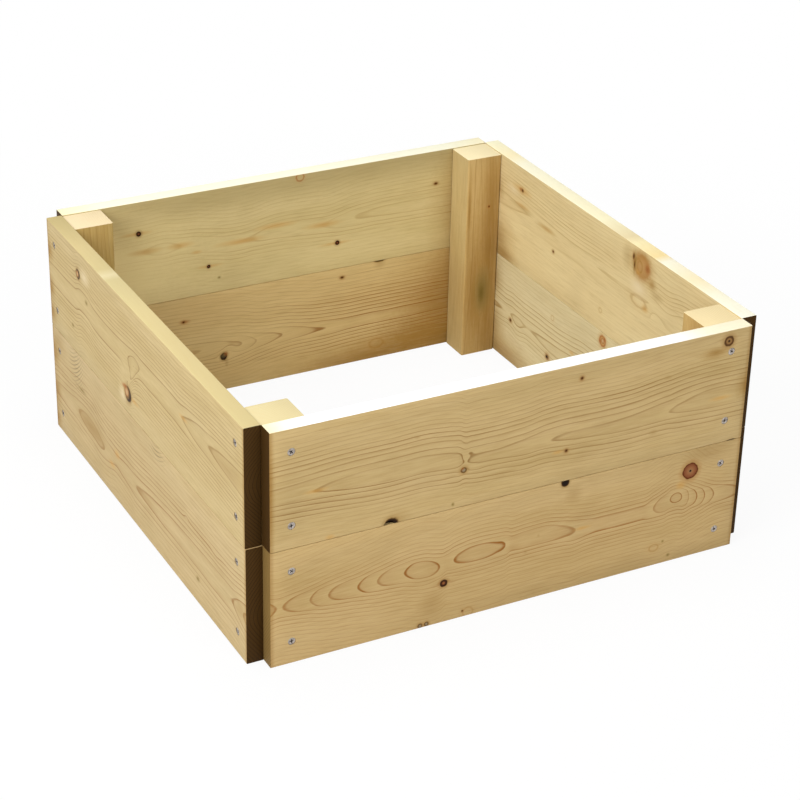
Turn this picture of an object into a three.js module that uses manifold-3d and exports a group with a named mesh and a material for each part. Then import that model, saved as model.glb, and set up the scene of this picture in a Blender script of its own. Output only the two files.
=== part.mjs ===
// A raised garden bed: a low square timber frame, open at the top and at the bottom.
//
// Each side is two planed boards, one above the other, screwed from outside to the four corner posts.
// Every board ends flush with the posts' outer faces, so an open square notch stands outside each corner.
// Millimetres, +Z up. The origin is on the ground at the middle of the frame, and the front faces -Y.

import * as THREE from 'three';
import { mergeVertices } from 'three/addons/utils/BufferGeometryUtils.js';
import Module from 'manifold-3d';

const wasm = await Module();
wasm.setup();

// ---------------------------------------------------------------- driving dimensions

// Side boards: planed softwood, with its long edges slightly eased and its ends sawn square
const BOARD_LENGTH = 600;
const BOARD_WIDTH = 145;
const BOARD_THICKNESS = 20;
const BOARD_EASE = 1;
const SEAM_GAP = 0.3; // between the upper and the lower board
const LOWER_LEFT_EXTRA = 1.5; // the left lower board was sawn this much longer at its front end

// Corner posts: planed timber, standing on the ground, a little short of the boards' top. They are
// wider along the front and the back than along the left and the right.
const POST_WIDTH = 50; // along X
const POST_DEPTH = 45; // along Y
const POST_EASE = 2;
const POST_TOP_DROP = 1.5;
const POST_GAP = 0.3; // between a post and the back of a board

// Wood screws: countersunk, cross recess, part threaded
const HEAD_DIAMETER = 8.8;
const HEAD_RIM = 0.5; // height of the straight edge round the head
const HEAD_SINK = 0.6; // how far the head lies below the board's face
const SHANK_DIAMETER = 3.3;
const THREAD_DIAMETER = 4.5;
const CORE_DIAMETER = 2.9;
const THREAD_PITCH = 2.5;
const POINT_LENGTH = 5;
const POINT_SHORTFALL = 2.2; // from the point to the nearer centre line of the post, where screws could meet
const RECESS_SPAN = 4.6;
const RECESS_TIP_SPAN = 1.6;
const RECESS_SLOT = 1.0;
const RECESS_DEPTH = 2.6;
const SCREW_EDGE_DISTANCE = 28; // from a screw's axis to the nearer long edge of its board
const HOLE_CLEARANCE = 0.3; // round a screw, on the radius

// Facets
const EASE_SEGMENTS = 3;
const SCREW_SIDES = 12;
const THREAD_SIDES = 6;
const MERGE_DISTANCE = 1e-4;

// ---------------------------------------------------------------- what follows from them

const QUARTER = Math.PI / 2;
const frameHalf = BOARD_LENGTH / 2; // the backs of the boards lie on this square
const outerFace = frameHalf + BOARD_THICKNESS;
const courseHeight = BOARD_WIDTH + SEAM_GAP;
const wallHeight = courseHeight + BOARD_WIDTH;
const postHeight = wallHeight - POST_TOP_DROP;

// The posts as a side's own X and Y see them: section, and distance of their centres from the middle
function postsSeenFrom(turns) {
  const [along, across] = turns % 2 === 0 ? [POST_WIDTH, POST_DEPTH] : [POST_DEPTH, POST_WIDTH];
  const centre = (size) => frameHalf - POST_GAP - size / 2;
  return { along, across, centreAlong: centre(along), centreAcross: centre(across) };
}

const headTop = outerFace - HEAD_SINK; // distance of the heads from the middle of the frame
const nearerCentre = frameHalf - POST_GAP - Math.min(POST_WIDTH, POST_DEPTH) / 2;
const screwLength = headTop - nearerCentre - POINT_SHORTFALL;
const headRadius = HEAD_DIAMETER / 2;
const threadRadius = THREAD_DIAMETER / 2;
const boreRadius = threadRadius + HOLE_CLEARANCE;

// The two boards of each side, with their colours. A side is turned by quarter turns from the front.
const COURSES = ['lower', 'upper'];
const SIDES = [
  { name: 'front', turns: 0, lower: '#bfa873', upper: '#c3ad79', lowerExtra: 0 },
  { name: 'right', turns: 1, lower: '#b9a06b', upper: '#c5ab7a', lowerExtra: 0 },
  { name: 'back', turns: 2, lower: '#b39a62', upper: '#bfa772', lowerExtra: 0 },
  { name: 'left', turns: 3, lower: '#cfb98b', upper: '#d1bb8d', lowerExtra: LOWER_LEFT_EXTRA },
];
const POST_NAMES = ['front_left_post', 'front_right_post', 'back_right_post', 'back_left_post'];
const POST_COLOUR = '#c0a468';
const ZINC_COLOUR = '#c9cbd0';

// The two screws at each end of a board, seen from outside the bed
const ENDS = [{ name: 'left', way: -1 }, { name: 'right', way: 1 }];
const LEVELS = [
  { name: 'low', z: SCREW_EDGE_DISTANCE },
  { name: 'high', z: BOARD_WIDTH - SCREW_EDGE_DISTANCE },
];
const RECESS_TURN = 2.4; // radians from one screw's recess to the next one's, as driven by hand

// ---------------------------------------------------------------- solids

// A closed surface as a solid that can be cut and joined.
function toSolid(geometry) {
  const bare = geometry.clone();
  bare.deleteAttribute('normal');
  bare.deleteAttribute('uv');
  const merged = mergeVertices(bare, MERGE_DISTANCE);
  return new wasm.Manifold(new wasm.Mesh({
    numProp: 3,
    vertProperties: merged.attributes.position.array,
    triVerts: withoutEmptyTriangles(merged.index.array),
  }));
}

// A turned profile that ends on its axis leaves triangles with two corners in one place.
function withoutEmptyTriangles(index) {
  const kept = [];
  for (let i = 0; i < index.length; i += 3) {
    const [a, b, c] = [index[i], index[i + 1], index[i + 2]];
    if (a !== b && b !== c && c !== a) kept.push(a, b, c);
  }
  return new Uint32Array(kept);
}

function toGeometry(solid) {
  const { vertProperties, triVerts, numProp } = solid.getMesh();
  const geometry = new THREE.BufferGeometry();
  geometry.setAttribute('position', new THREE.BufferAttribute(vertProperties, numProp));
  geometry.setIndex(new THREE.BufferAttribute(triVerts, 1));
  geometry.computeVertexNormals();
  return geometry;
}

// A copy of a shape, turned about the upright axis and then moved.
function placed(geometry, turn, x, y, z) {
  return geometry.clone().rotateZ(turn).translate(x, y, z);
}

// ---------------------------------------------------------------- timber

// A rectangle with eased corners, from one corner at the origin
function easedRectangle(width, height, ease) {
  const outline = new THREE.Shape();
  outline.absarc(ease, ease, ease, Math.PI, 3 * QUARTER, false);
  outline.absarc(width - ease, ease, ease, 3 * QUARTER, 4 * QUARTER, false);
  outline.absarc(width - ease, height - ease, ease, 0, QUARTER, false);
  outline.absarc(ease, height - ease, ease, QUARTER, Math.PI, false);
  return outline;
}

// A length of timber, along +Z from the ground, with its section in the first quarter of the plane
function timber(sectionX, sectionY, length, ease) {
  const outline = easedRectangle(sectionX, sectionY, ease);
  return new THREE.ExtrudeGeometry(outline, {
    depth: length,
    bevelEnabled: false,
    curveSegments: EASE_SEGMENTS,
  });
}

// A side board along X, drilled at its two posts. Its outer face is at y = 0 and its lower edge at z = 0.
function boardGeometry(posts, extra) {
  const yAxis = new THREE.Vector3(0, 1, 0);
  const zAxis = new THREE.Vector3(0, 0, 1);
  const xAxis = new THREE.Vector3(1, 0, 0);
  const lying = new THREE.Matrix4().makeBasis(yAxis, zAxis, xAxis);
  const blank = timber(BOARD_THICKNESS, BOARD_WIDTH, BOARD_LENGTH + extra, BOARD_EASE);
  let board = toSolid(blank.applyMatrix4(lying).translate(-frameHalf, 0, 0));
  for (const end of ENDS) {
    for (const level of LEVELS) {
      const x = end.way * posts.centreAlong;
      board = board.subtract(toSolid(placed(screwHole, 0, x, HEAD_SINK, level.z)));
    }
  }
  return toGeometry(board);
}

// A corner post, centred on the upright axis. Its front is drilled for the boards of one side,
// and its left for those of the side next to it.
function postGeometry(posts) {
  const blank = timber(posts.along, posts.across, postHeight, POST_EASE);
  const frontHeads = headTop - posts.centreAcross;
  const leftHeads = headTop - posts.centreAlong;
  let post = toSolid(blank.translate(-posts.along / 2, -posts.across / 2, 0));
  COURSES.forEach((course, i) => {
    for (const level of LEVELS) {
      const z = i * courseHeight + level.z;
      post = post.subtract(toSolid(placed(screwHole, 0, 0, -frontHeads, z)));
      post = post.subtract(toSolid(placed(screwHole, -QUARTER, -leftHeads, 0, z)));
    }
  });
  return toGeometry(post);
}

// ---------------------------------------------------------------- screws

// A shape turned round Y from [radius, y] points in the order of y, which start and end on the axis
function turned(points) {
  return new THREE.LatheGeometry(points.map(([r, y]) => new THREE.Vector2(r, y)), SCREW_SIDES);
}

// The hole that a screw leaves through a board and into a post. A screw's head top is at y = 0 and
// its point towards +Y.
function screwHoleGeometry() {
  const mouthRadius = headRadius + HOLE_CLEARANCE;
  const outside = -HEAD_SINK - 1;
  return turned([
    [0, outside],
    [mouthRadius, outside],
    [mouthRadius, HEAD_RIM],
    [boreRadius, HEAD_RIM + mouthRadius - boreRadius],
    [boreRadius, screwLength - POINT_LENGTH],
    [0, screwLength + 2 * HOLE_CLEARANCE],
  ]);
}

// One of the two crossed slots of the recess: wide at the top, narrow at the bottom
function recessSlot(turn) {
  const above = 1;
  const slot = new THREE.Shape([
    new THREE.Vector2(-RECESS_SPAN / 2, -above),
    new THREE.Vector2(RECESS_SPAN / 2, -above),
    new THREE.Vector2(RECESS_SPAN / 2, 0),
    new THREE.Vector2(RECESS_TIP_SPAN / 2, RECESS_DEPTH),
    new THREE.Vector2(-RECESS_TIP_SPAN / 2, RECESS_DEPTH),
    new THREE.Vector2(-RECESS_SPAN / 2, 0),
  ]);
  const block = new THREE.ExtrudeGeometry(slot, { depth: RECESS_SLOT, bevelEnabled: false });
  return block.translate(0, 0, -RECESS_SLOT / 2).rotateY(turn);
}

// The thread and the point. A helix at the core's radius and one at the crest's, half a pitch on,
// are joined by two strips; a fan closes each end, and the last one is the point.
function threadGeometry(start, threadLength) {
  const turns = Math.floor(threadLength / THREAD_PITCH);
  const steps = turns * THREAD_SIDES;
  const crestSteps = steps - THREAD_SIDES;
  const helixPoint = (radius, step, lead) => {
    const angle = (step / THREAD_SIDES) * 4 * QUARTER;
    const y = start + (step / THREAD_SIDES + lead) * THREAD_PITCH;
    return new THREE.Vector3(radius * Math.sin(angle), y, radius * Math.cos(angle));
  };
  const core = [];
  const crest = [];
  for (let i = 0; i <= steps; i += 1) core.push(helixPoint(CORE_DIAMETER / 2, i, 0));
  for (let i = 0; i <= crestSteps; i += 1) crest.push(helixPoint(threadRadius, i, 0.5));

  const corners = [];
  const face = (...points) => points.forEach((p) => corners.push(...p.toArray()));
  const strip = (a, b, c, d) => {
    face(a, b, d);
    face(b, c, d);
  };
  for (let i = 0; i < crestSteps; i += 1) {
    const next = i + THREAD_SIDES;
    strip(core[i], core[i + 1], crest[i + 1], crest[i]);
    strip(crest[i], crest[i + 1], core[next + 1], core[next]);
  }
  const heel = new THREE.Vector3(0, start, 0);
  const point = new THREE.Vector3(0, screwLength, 0);
  for (let i = 0; i < THREAD_SIDES; i += 1) {
    face(heel, core[i + 1], core[i]);
    face(point, core[crestSteps + i], core[crestSteps + i + 1]);
  }
  face(heel, crest[0], core[THREAD_SIDES]);
  face(heel, core[0], crest[0]);
  face(point, core[steps], crest[crestSteps]);
  face(point, crest[crestSteps], core[crestSteps]);

  const thread = new THREE.BufferGeometry();
  thread.setAttribute('position', new THREE.Float32BufferAttribute(corners, 3));
  return thread;
}

function screwGeometry() {
  const shankRadius = SHANK_DIAMETER / 2;
  const threadStart = BOARD_THICKNESS + POST_GAP - HEAD_SINK;
  const head = turned([
    [0, 0],
    [headRadius, 0],
    [headRadius, HEAD_RIM],
    [shankRadius, HEAD_RIM + headRadius - shankRadius],
    [shankRadius, threadStart + THREAD_PITCH],
    [0, threadStart + THREAD_PITCH],
  ]);
  const thread = threadGeometry(threadStart, screwLength - POINT_LENGTH - threadStart);
  const screw = toSolid(head)
    .add(toSolid(thread))
    .subtract(toSolid(recessSlot(0)))
    .subtract(toSolid(recessSlot(QUARTER)));
  return toGeometry(screw);
}

// ---------------------------------------------------------------- materials

function pine(colour) {
  return new THREE.MeshStandardMaterial({ color: colour, roughness: 0.72, metalness: 0 });
}

function zinc() {
  return new THREE.MeshStandardMaterial({ color: ZINC_COLOUR, roughness: 0.32, metalness: 1 });
}

// ---------------------------------------------------------------- the bed

const screwHole = screwHoleGeometry();
const screwShape = screwGeometry();

function named(name, geometry, material) {
  const mesh = new THREE.Mesh(geometry, material);
  mesh.name = name;
  return mesh;
}

// The four screws that hold one board, as meshes in the board's own group
function boardScrews(boardName, posts, firstTurn) {
  const screws = [];
  for (const end of ENDS) {
    for (const level of LEVELS) {
      const screw = named(`${boardName}_screw_${end.name}_${level.name}`, screwShape, zinc());
      screw.position.set(end.way * posts.centreAlong, HEAD_SINK, level.z);
      screw.rotation.y = (firstTurn + screws.length) * RECESS_TURN;
      screws.push(screw);
    }
  }
  return screws;
}

// One side: two boards with their screws, and the post at its left end as seen from outside
function sideGroup(side) {
  const group = new THREE.Group();
  const posts = postsSeenFrom(side.turns);
  COURSES.forEach((course, i) => {
    const boardName = `${side.name}_${course}_board`;
    const extra = course === 'lower' ? side.lowerExtra : 0;
    const boardGroup = new THREE.Group();
    boardGroup.position.set(0, -outerFace, i * courseHeight);
    boardGroup.add(named(boardName, boardGeometry(posts, extra), pine(side[course])));
    boardGroup.add(...boardScrews(boardName, posts, side.turns + i));
    group.add(boardGroup);
  });
  const post = named(POST_NAMES[side.turns], postGeometry(posts), pine(POST_COLOUR));
  post.position.set(-posts.centreAlong, -posts.centreAcross, 0);
  group.add(post);
  group.rotation.z = side.turns * QUARTER;
  return group;
}

const gardenBed = new THREE.Group();
for (const side of SIDES) gardenBed.add(sideGroup(side));

export default gardenBed;
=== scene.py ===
# %% [markdown]
# # A raised garden bed in treated pine
# The bed is a square timber wall, open above and below. Each side is two planed boards, screwed to a post
# at either end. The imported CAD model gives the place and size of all 44 pieces, so this lesson only models
# them finely in those places and gives them their finish. Loading the frame comes first, because every piece
# is measured from it.

from collections import namedtuple
from math import cos, pi, radians, sin

import bmesh
import bpy
from mathutils import Matrix, Vector


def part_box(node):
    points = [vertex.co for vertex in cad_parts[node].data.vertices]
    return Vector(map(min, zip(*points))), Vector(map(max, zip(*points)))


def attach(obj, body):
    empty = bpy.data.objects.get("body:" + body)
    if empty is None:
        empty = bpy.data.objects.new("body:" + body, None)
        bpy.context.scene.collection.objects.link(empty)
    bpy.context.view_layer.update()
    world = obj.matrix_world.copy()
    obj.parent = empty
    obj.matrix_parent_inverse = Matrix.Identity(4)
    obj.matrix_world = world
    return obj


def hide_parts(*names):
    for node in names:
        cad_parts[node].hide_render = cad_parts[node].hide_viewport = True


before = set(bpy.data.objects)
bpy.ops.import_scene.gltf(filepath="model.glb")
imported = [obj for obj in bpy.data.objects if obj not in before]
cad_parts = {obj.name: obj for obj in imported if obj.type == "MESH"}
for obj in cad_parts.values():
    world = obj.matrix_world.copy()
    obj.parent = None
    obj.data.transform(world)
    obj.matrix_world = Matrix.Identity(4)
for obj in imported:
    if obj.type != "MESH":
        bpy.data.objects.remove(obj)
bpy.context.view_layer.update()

# %% [markdown]
# ## The camera
# The view is that of a photographer standing well back with a long lens: the bed's near corner is a little
# left of the middle, and parallel edges hardly converge. A camera can be pointed with a constraint, but its
# place and three angles are known here, so its axes are written out, which leaves nothing to solve.

# %% Camera
VIEW_AZIMUTH = radians(-27.93)
VIEW_ELEVATION = radians(27.83)
VIEW_ROLL = radians(1.35)
VIEW_PLACE = Vector((-1.1321, -2.1737, 1.4027))
FILM_WIDTH = 36.0  # mm
LENS = 101.78  # mm


def view_axes(azimuth, elevation, roll):
    """The camera's right, up and backward directions."""
    back = Vector((sin(azimuth) * cos(elevation), -cos(azimuth) * cos(elevation), sin(elevation)))
    level = Vector((cos(azimuth), sin(azimuth), 0.0))
    upright = back.cross(level)
    right = cos(roll) * level + sin(roll) * upright
    up = cos(roll) * upright - sin(roll) * level
    return right, up, back


film = bpy.data.cameras.new("camera")
film.sensor_width = FILM_WIDTH
film.lens = LENS
film.clip_end = 100.0
camera = bpy.data.objects.new("camera", film)
bpy.context.scene.collection.objects.link(camera)
camera.matrix_world = Matrix.Translation(VIEW_PLACE) @ Matrix(
    view_axes(VIEW_AZIMUTH, VIEW_ELEVATION, VIEW_ROLL)
).transposed().to_4x4()
bpy.context.scene.camera = camera
bpy.context.scene.view_settings.view_transform = "Standard"
print("camera at", tuple(round(v, 3) for v in VIEW_PLACE), "with a", LENS, "mm lens")

# %% [markdown]
# ## Sizes from the frame
# A board's length, width and thickness, a post's section and height and a screw's head are all read from
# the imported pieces. Nothing is typed twice, so the fine pieces can't drift away from the CAD ones.

# %% Sizes
MM = 0.001
SIDES = ("front", "right", "back", "left")
COURSES = ("lower", "upper")
ENDS = {"left": -1, "right": 1}
POSTS = ("front_left_post", "front_right_post", "back_right_post", "back_left_post")

board_low, board_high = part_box("front_upper_board")
post_low, post_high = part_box("front_left_post")
length, thickness, width = board_high - board_low
post_size = post_high - post_low
post_reach = -(post_low + post_high) / 2  # from the bed's middle to a post's centre, along X and Y
outer_face = -board_low.y
wall_height = board_high.z
screw_low, screw_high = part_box("front_lower_board_screw_left_low")
head_radius = (screw_high.z - screw_low.z) / 2
screw_length = screw_high.y - screw_low.y
head_sink = outer_face + screw_low.y
edge_distance = (screw_low.z + screw_high.z) / 2
print(f"board {length:.4f} x {width:.4f} x {thickness:.4f} m")
print(f"post {post_size.x:.4f} x {post_size.y:.4f} x {post_size.z:.4f} m")
print(f"screw head {2 * head_radius:.4f} m across, {head_sink:.4f} m below the face")

# %% [markdown]
# ## Working by hand in code
# An operator acts on whatever is selected. These helpers start from nothing selected, pick edges or faces
# by where they lie, and apply modifiers, which is what a modeller does with clicks.


# %% Modelling helpers
def only(piece):
    """Selects one object and nothing else."""
    bpy.ops.object.select_all(action="DESELECT")
    piece.select_set(True)
    bpy.context.view_layer.objects.active = piece


def pick(piece, kind, wanted=lambda element: True):
    """In edit mode, selects the edges or faces that the test wants, which is all of them without a test."""
    only(piece)
    bpy.ops.object.mode_set(mode="EDIT")
    bpy.ops.mesh.select_mode(type={"edges": "EDGE", "faces": "FACE"}[kind])
    bpy.ops.mesh.select_all(action="DESELECT")
    shape = bmesh.from_edit_mesh(piece.data)
    for element in getattr(shape, kind):
        if wanted(element):
            element.select_set(True)
    bmesh.update_edit_mesh(piece.data)


def leave_edit():
    bpy.ops.object.mode_set(mode="OBJECT")


def apply_modifier(piece, kind, **settings):
    only(piece)
    modifier = piece.modifiers.new(kind.lower(), kind)
    for name, value in settings.items():
        setattr(modifier, name, value)
    bpy.ops.object.modifier_apply(modifier=modifier.name)


def cut(piece, cutter):
    apply_modifier(piece, "BOOLEAN", operation="DIFFERENCE", solver="EXACT", object=cutter)


def join_solid(piece, other):
    apply_modifier(piece, "BOOLEAN", operation="UNION", solver="EXACT", object=other)
    bpy.data.objects.remove(other)


def block(name, size, centre):
    """A cube at its size and place, with its scale worked into the mesh."""
    bpy.ops.object.select_all(action="DESELECT")
    bpy.ops.mesh.primitive_cube_add(size=1, location=centre)
    made = bpy.context.object
    made.name = name
    made.scale = size
    bpy.ops.object.transform_apply(location=True, rotation=False, scale=True)
    return made


def close_up():
    """Leaves edit mode once the open rim is filled and every face points outwards."""
    bpy.ops.mesh.select_all(action="SELECT")
    bpy.ops.mesh.fill_holes(sides=0)
    bpy.ops.mesh.normals_make_consistent(inside=False)
    leave_edit()


def runs_along(edge, axis):
    """Whether an edge of a block runs along X, Y or Z."""
    a, b = (v.co for v in edge.verts)
    return abs(a[axis] - b[axis]) > max(abs(a[i] - b[i]) for i in range(3) if i != axis)


def finish_shape(piece, angle):
    only(piece)
    bpy.ops.object.shade_smooth_by_angle(angle=angle)


def copy_of(pattern, name, matrix):
    """A copy with its own mesh, moved inside the mesh so that its object stays at the origin."""
    made = pattern.copy()
    made.data = pattern.data.copy()
    made.name = name
    made.data.transform(matrix)
    bpy.context.scene.collection.objects.link(made)
    return made


print("helpers ready")

# %% [markdown]
# ## A screw
# The screws are zinc-plated wood screws with a countersunk head and a cross recess. A head could be turned
# as one profile, but a disc that is extruded down step by step keeps the steps readable: rim, cone, shank
# and point. The recess is cut with a tapered cross, and the thread is a V drawn round the core.

# %% Screw
HEAD_SIDES = 48
HEAD_RIM = 0.5 * MM
SHANK_RADIUS = 1.65 * MM
CORE_RADIUS = 1.45 * MM
CREST_RADIUS = 2.25 * MM
CREST_WIDTH = 0.3 * MM
THREAD_PITCH = 2.5 * MM
THREAD_TURNS = 5
THREAD_STEPS = 20  # in each turn
THREAD_ROOT = 0.9 * CORE_RADIUS
THREAD_FOOT = 0.27 * THREAD_PITCH  # half the width of the thread at its root
THREAD_START = 0.25  # how much of its height the thread has at its two ends
NECK = 0.2 * MM  # where the shank narrows to the core
POINT_LENGTH = 5 * MM
POINT_STEPS = ((0.6, 0.55), (0.4, 0.06))  # shares of the point's length, and what each narrows to
RECESS_SPAN = 4.6 * MM
RECESS_SLOT = 1.0 * MM
RECESS_DEPTH = 2.6 * MM
RECESS_TAPER = (0.36, 0.8, 1)  # the bottom of a recess's bar, as a share of its top
RECESS_EDGE = 0.05 * MM  # how near the recess a face must be to count as its own
SCREW_SMOOTH = radians(40)  # sharper edges than this stay sharp
thread_length = THREAD_TURNS * THREAD_PITCH


def pull_down(distance, scale=1.0):
    """Extrudes the selected face downwards and shrinks it about the axis."""
    bpy.ops.mesh.extrude_region_move(TRANSFORM_OT_translate={"value": (0, 0, -distance)})
    if scale != 1.0:
        bpy.ops.transform.resize(value=(scale, scale, 1))


def screw_body():
    bpy.ops.object.select_all(action="DESELECT")
    bpy.ops.mesh.primitive_circle_add(vertices=HEAD_SIDES, radius=head_radius, fill_type="NGON")
    body = bpy.context.object
    cone_height = head_radius - SHANK_RADIUS
    shank = screw_length - HEAD_RIM - cone_height - thread_length - POINT_LENGTH
    pick(body, "faces")
    pull_down(HEAD_RIM)
    pull_down(cone_height, SHANK_RADIUS / head_radius)
    pull_down(shank)
    pull_down(NECK, CORE_RADIUS / SHANK_RADIUS)
    pull_down(thread_length - NECK)
    for share, narrowing in POINT_STEPS:
        pull_down(POINT_LENGTH * share, narrowing)
    close_up()
    return body


def screw_recess():
    """A cross with sides that draw in towards the bottom."""
    cross = None
    for turn in (0.0, pi / 2):
        bar = block("recess", (RECESS_SPAN, RECESS_SLOT, RECESS_DEPTH), (0, 0, -RECESS_DEPTH / 2))
        pick(bar, "faces", lambda face: face.normal.z < -0.5)
        bpy.ops.transform.resize(value=RECESS_TAPER)
        leave_edit()
        pick(bar, "faces", lambda face: face.normal.z > 0.5)
        bpy.ops.mesh.extrude_region_move(TRANSFORM_OT_translate={"value": (0, 0, RECESS_SLOT)})
        leave_edit()
        bar.data.transform(Matrix.Rotation(turn, 4, "Z"))
        if cross is None:
            cross = bar
        else:
            join_solid(cross, bar)
    return cross


def screw_thread(top):
    """A closed V that winds down round the core, as a strip between three helices."""
    mesh = bpy.data.meshes.new("thread")
    shape = bmesh.new()
    rows = []
    steps = THREAD_TURNS * THREAD_STEPS
    for i in range(steps + 1):
        angle = 2 * pi * i / THREAD_STEPS
        fall = top - THREAD_PITCH * i / THREAD_STEPS
        from_end = min(1.0, i / (THREAD_STEPS / 2), (steps - i) / (THREAD_STEPS / 2))
        rise = THREAD_START + (1 - THREAD_START) * from_end
        crest = CORE_RADIUS + (CREST_RADIUS - CORE_RADIUS) * rise
        profile = [
            (THREAD_ROOT, THREAD_FOOT), (crest, CREST_WIDTH / 2), (crest, -CREST_WIDTH / 2),
            (THREAD_ROOT, -THREAD_FOOT),
        ]
        rows.append([shape.verts.new((r * cos(angle), r * sin(angle), fall + z)) for r, z in profile])
    for a, b in zip(rows, rows[1:]):
        for j in range(4):
            k = (j + 1) % 4
            shape.faces.new((a[j], a[k], b[k], b[j]))
    shape.faces.new(reversed(rows[0]))
    shape.faces.new(rows[-1])
    bmesh.ops.recalc_face_normals(shape, faces=shape.faces)
    shape.to_mesh(mesh)
    shape.free()
    made = bpy.data.objects.new("thread", mesh)
    bpy.context.scene.collection.objects.link(made)
    return made


screw_pattern = screw_body()
recess = screw_recess()
cut(screw_pattern, recess)
bpy.data.objects.remove(recess)
join_solid(screw_pattern, screw_thread(-(screw_length - POINT_LENGTH - thread_length)))
finish_shape(screw_pattern, SCREW_SMOOTH)


def in_recess(face):
    """Whether a face of the screw pattern is a wall or the bottom of its recess."""
    near_axis = face.center.xy.length < RECESS_SPAN / 2 + RECESS_EDGE
    return near_axis and RECESS_EDGE < -face.center.z < RECESS_DEPTH + RECESS_EDGE


recess_faces = [face.index for face in screw_pattern.data.polygons if in_recess(face)]
print("screw:", len(screw_pattern.data.polygons), "faces,", len(recess_faces), "of them in the recess")

# %% [markdown]
# ## Boards and posts
# A planed board is a block whose long edges have been eased by the planer and whose ends are sawn. The
# edges are bevelled in two goes, so that the long ones are rounder than the sawn ones, and a countersink
# cutter in the shape of the screw takes out each screw hole.

# %% Board and post patterns
HOLE_CLEARANCE = 0.3 * MM
LONG_EDGE_EASE = 1.0 * MM
POST_EDGE_EASE = 2.0 * MM
SAWN_EDGE_EASE = 0.35 * MM
TIMBER_SMOOTH = radians(35)


def hole_cutter():
    """The room that a screw takes, from above its head to below its point."""
    bpy.ops.object.select_all(action="DESELECT")
    mouth = head_radius + HOLE_CLEARANCE
    bore = CREST_RADIUS + HOLE_CLEARANCE
    bpy.ops.mesh.primitive_circle_add(
        vertices=HEAD_SIDES, radius=mouth, fill_type="NGON", location=(0, 0, head_sink + MM)
    )
    cutter = bpy.context.object
    bpy.ops.object.transform_apply(location=True)
    pick(cutter, "faces")
    pull_down(head_sink + MM + HEAD_RIM)
    pull_down(mouth - bore, bore / mouth)
    pull_down(screw_length - POINT_LENGTH - HEAD_RIM - (mouth - bore))
    pull_down(POINT_LENGTH + HOLE_CLEARANCE, 0.1)
    close_up()
    return cutter


def into_wood(x, y, z, turn):
    """Stands a screw or its hole on a face that looks to -Y, turned by quarters about the post."""
    return Matrix.Rotation(turn, 4, "Z") @ Matrix.Translation((x, y, z)) @ Matrix.Rotation(pi / 2, 4, "X")


def drill(piece, cutter, matrix):
    drillbit = copy_of(cutter, "drillbit", matrix)
    cut(piece, drillbit)
    bpy.data.objects.remove(drillbit)


def bevelled(piece, axis, ease, segments):
    pick(piece, "edges", lambda edge: runs_along(edge, axis))
    bpy.ops.mesh.bevel(offset=ease, segments=segments, affect="EDGES", profile=0.5)
    leave_edit()


def sawn_ends(piece, axis, ends):
    """A fine bevel round both end faces."""

    def rims_end(edge):
        return any(all(abs(v.co[axis] - end) < 1e-6 for v in edge.verts) for end in ends)

    pick(piece, "edges", rims_end)
    bpy.ops.mesh.bevel(offset=SAWN_EDGE_EASE, segments=2, affect="EDGES", profile=0.5)
    leave_edit()


hole = hole_cutter()
screw_levels = {"low": edge_distance, "high": width - edge_distance}


def board_pattern(turned, extra=0.0):
    """A board along X with its outer face at y = 0 and its lower edge at z = 0.

    It is drilled for the posts as a side sees them: 0 for the front and the back, 1 for the other two.
    """
    board = block("board", (length + extra, thickness, width), (extra / 2, thickness / 2, width / 2))
    bevelled(board, 0, LONG_EDGE_EASE, 4)
    sawn_ends(board, 0, (-length / 2, length / 2 + extra))
    for way in ENDS.values():
        for z in screw_levels.values():
            drill(board, hole, into_wood(way * post_reach[turned], head_sink, z, 0))
    finish_shape(board, TIMBER_SMOOTH)
    return board


def post_pattern(turned):
    """A post round the Z axis, drilled from its front and from its left for both courses."""
    section = (post_size[turned], post_size[1 - turned])
    post = block("post", (*section, post_size.z), (0, 0, post_size.z / 2))
    bevelled(post, 2, POST_EDGE_EASE, 4)
    sawn_ends(post, 2, (0, post_size.z))
    course_height = wall_height - width
    heads = outer_face - head_sink
    for base in (0, course_height):
        for z in screw_levels.values():
            drill(post, hole, into_wood(0, post_reach[1 - turned] - heads, base + z, 0))
            drill(post, hole, into_wood(0, post_reach[turned] - heads, base + z, -pi / 2))
    finish_shape(post, TIMBER_SMOOTH)
    return post


plain_boards = [board_pattern(turned) for turned in (0, 1)]
post_shapes = [post_pattern(turned) for turned in (0, 1)]
print("a board has", len(plain_boards[0].data.polygons), "faces")
print("a post has", len(post_shapes[0].data.polygons), "faces")

# %% [markdown]
# ## One piece for each CAD node
# Each pattern is copied into its places, and each copy has its own mesh with its place in it. A quarter turn
# about the bed's middle takes the front side to the right, the back and the left. One lower board of the
# left side was sawn a little longer at its front end, so it gets a pattern of its own, made to the length
# that the frame gives. A branch stub fell out of the front upper board's lower edge and left a hollow there.

# %% Pieces
RECESS_TURN = 2.4  # radians from one screw's recess to the next one's
CHIP_PLACE = (-159 * MM, 0, 0)
CHIP_SIZE = (13 * MM, 9 * MM, 9.5 * MM)
long_low, long_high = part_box("left_lower_board")
long_board = board_pattern(1, long_high.y - long_low.y - length)


def chipped(board):
    """A copy of a board with the hollow cut into its edge."""
    board = copy_of(board, "chipped_board", Matrix())
    bpy.ops.object.select_all(action="DESELECT")
    bpy.ops.mesh.primitive_uv_sphere_add(segments=32, ring_count=16, radius=0.5, location=CHIP_PLACE)
    stub = bpy.context.object
    stub.scale = CHIP_SIZE
    bpy.ops.object.transform_apply(location=True, rotation=False, scale=True)
    cut(board, stub)
    bpy.data.objects.remove(stub)
    finish_shape(board, TIMBER_SMOOTH)
    return board


chipped_board = chipped(plain_boards[0])


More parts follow.
